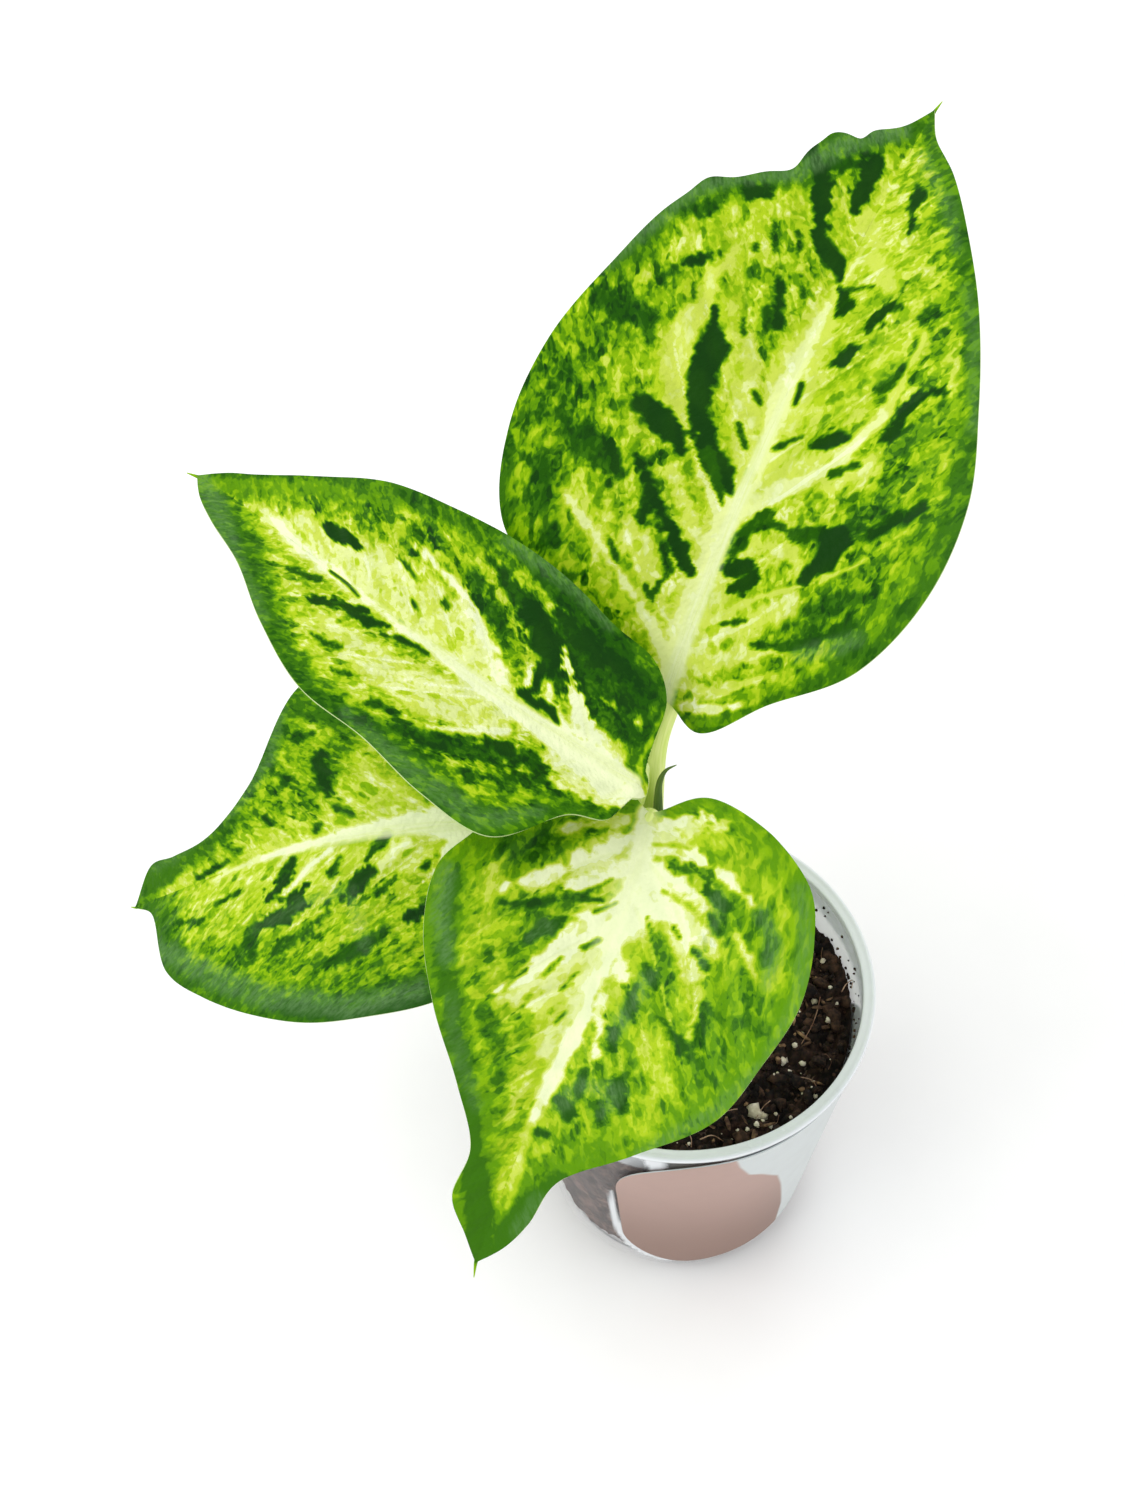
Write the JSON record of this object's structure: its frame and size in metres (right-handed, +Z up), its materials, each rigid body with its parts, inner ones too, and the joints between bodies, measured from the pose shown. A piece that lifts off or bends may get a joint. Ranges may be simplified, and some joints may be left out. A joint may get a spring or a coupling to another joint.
{
  "type": "potted dieffenbachia",
  "caption": "Small variegated dieffenbachia with broad pointed leaves on grooved stalks, in a clear tapered nursery pot of dark potting mix with a bare sticker.",
  "frame": {"origin": "centre of the pot's flat foot, on the surface that the pot stands on", "axes": "+Z up, +X to the right and -Y towards the viewer in the picture"},
  "size_m": [0.1235, 0.1354, 0.162],
  "materials": {
    "pot_plastic": "thin clear polypropylene, slightly milky, glossy",
    "label_sticker": "bare blush-pink sticker fading to pale grey, semi-gloss",
    "potting_mix": "moist dark peat with white grains, bark crumbs and fibres, matt",
    "stalk": "pale yellow-green living tissue, satin",
    "shoot": "olive green sheath, satin",
    "leaf": "waxy leaf mottled cream, lime and dark green, soft gloss"
  },
  "bodies": {
    "root": {"pot": "pot_plastic", "label": "label_sticker", "potting_mix": "potting_mix", "stem": "stalk", "young_shoot": "shoot", "leaf_upper_right": "leaf", "leaf_upper_left": "leaf", "leaf_lower_left": "leaf", "leaf_front": "leaf"}
  },
  "joints": []
}
